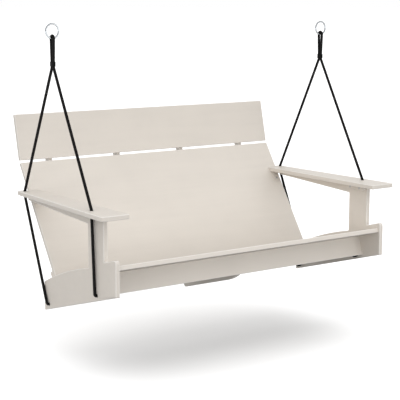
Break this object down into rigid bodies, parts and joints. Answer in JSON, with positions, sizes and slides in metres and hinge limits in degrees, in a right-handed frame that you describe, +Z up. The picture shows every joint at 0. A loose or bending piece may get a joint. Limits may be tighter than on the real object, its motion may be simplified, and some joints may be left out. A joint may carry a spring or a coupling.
{
  "type": "porch swing",
  "caption": "Two-person porch swing in plastic lumber sheet with flat armrests and a leaning back, hung by one rope a side from steel rings.",
  "frame": {"origin": "midway between the points where the ceiling hooks bear on the two rings, as the swing hangs at rest", "axes": "+Z up, +X towards the right of someone facing the swing's front, +Y to its back, so the sitter faces -Y"},
  "size_m": [1.5274, 0.8851, 1.2084],
  "materials": {
    "plastic_lumber": "matte",
    "stainless_rings": "polished",
    "painted_brackets": "satin",
    "stainless_screws": "satin",
    "rope": "matte",
    "rope_binding": "satin"
  },
  "bodies": {
    "hangers": {"left_ring": "stainless_rings", "right_ring": "stainless_rings"},
    "swing": {"back_foot_cleat": "plastic_lumber", "back_rib_1": "plastic_lumber", "back_rib_1_lower_screw_1": "stainless_screws", "back_rib_1_lower_screw_2": "stainless_screws", "back_rib_1_upper_screw_1": "stainless_screws", "back_rib_1_upper_screw_2": "stainless_screws", "back_rib_2": "plastic_lumber", "back_rib_2_lower_screw_1": "stainless_screws", "back_rib_2_lower_screw_2": "stainless_screws", "back_rib_2_upper_screw_1": "stainless_screws", "back_rib_2_upper_screw_2": "stainless_screws", "back_rib_3": "plastic_lumber", "back_rib_3_lower_screw_1": "stainless_screws", "back_rib_3_lower_screw_2": "stainless_screws", "back_rib_3_upper_screw_1": "stainless_screws", "back_rib_3_upper_screw_2": "stainless_screws", "back_rib_4": "plastic_lumber", "back_rib_4_lower_screw_1": "stainless_screws", "back_rib_4_lower_screw_2": "stainless_screws", "back_rib_4_upper_screw_1": "stainless_screws", "back_rib_4_upper_screw_2": "stainless_screws", "front_apron": "plastic_lumber", "headrest_board": "plastic_lumber", "left_arm_bracket": "painted_brackets", "left_arm_bracket_screw_1": "stainless_screws", "left_arm_bracket_screw_2": "stainless_screws", "left_arm_cleat": "plastic_lumber", "left_arm_cleat_screw_1": "stainless_screws", "left_arm_cleat_screw_2": "stainless_screws", "left_armrest": "plastic_lumber", "left_front_knot": "rope", "left_rear_knot": "rope", "left_rope": "rope", "left_seat_cleat": "plastic_lumber", "left_seat_cleat_screw_1": "stainless_screws", "left_seat_cleat_screw_2": "stainless_screws", "left_seizing": "rope_binding", "left_side_panel": "plastic_lumber", "lower_back_board": "plastic_lumber", "middle_rib": "plastic_lumber", "right_arm_bracket": "painted_brackets", "right_arm_bracket_screw_1": "stainless_screws", "right_arm_bracket_screw_2": "stainless_screws", "right_arm_cleat": "plastic_lumber", "right_arm_cleat_screw_1": "stainless_screws", "right_arm_cleat_screw_2": "stainless_screws", "right_armrest": "plastic_lumber", "right_front_knot": "rope", "right_rear_knot": "rope", "right_rope": "rope", "right_seat_cleat": "plastic_lumber", "right_seat_cleat_screw_1": "stainless_screws", "right_seat_cleat_screw_2": "stainless_screws", "right_seizing": "rope_binding", "right_side_panel": "plastic_lumber", "seat_board": "plastic_lumber"}
  },
  "joints": [
    {"name": "swing_fore_aft", "type": "hinge", "parent": "hangers", "child": "swing", "pos_m": [0, 0, -0.054], "axis": [1, 0, 0], "range_deg": [-30, 30]}
  ]
}
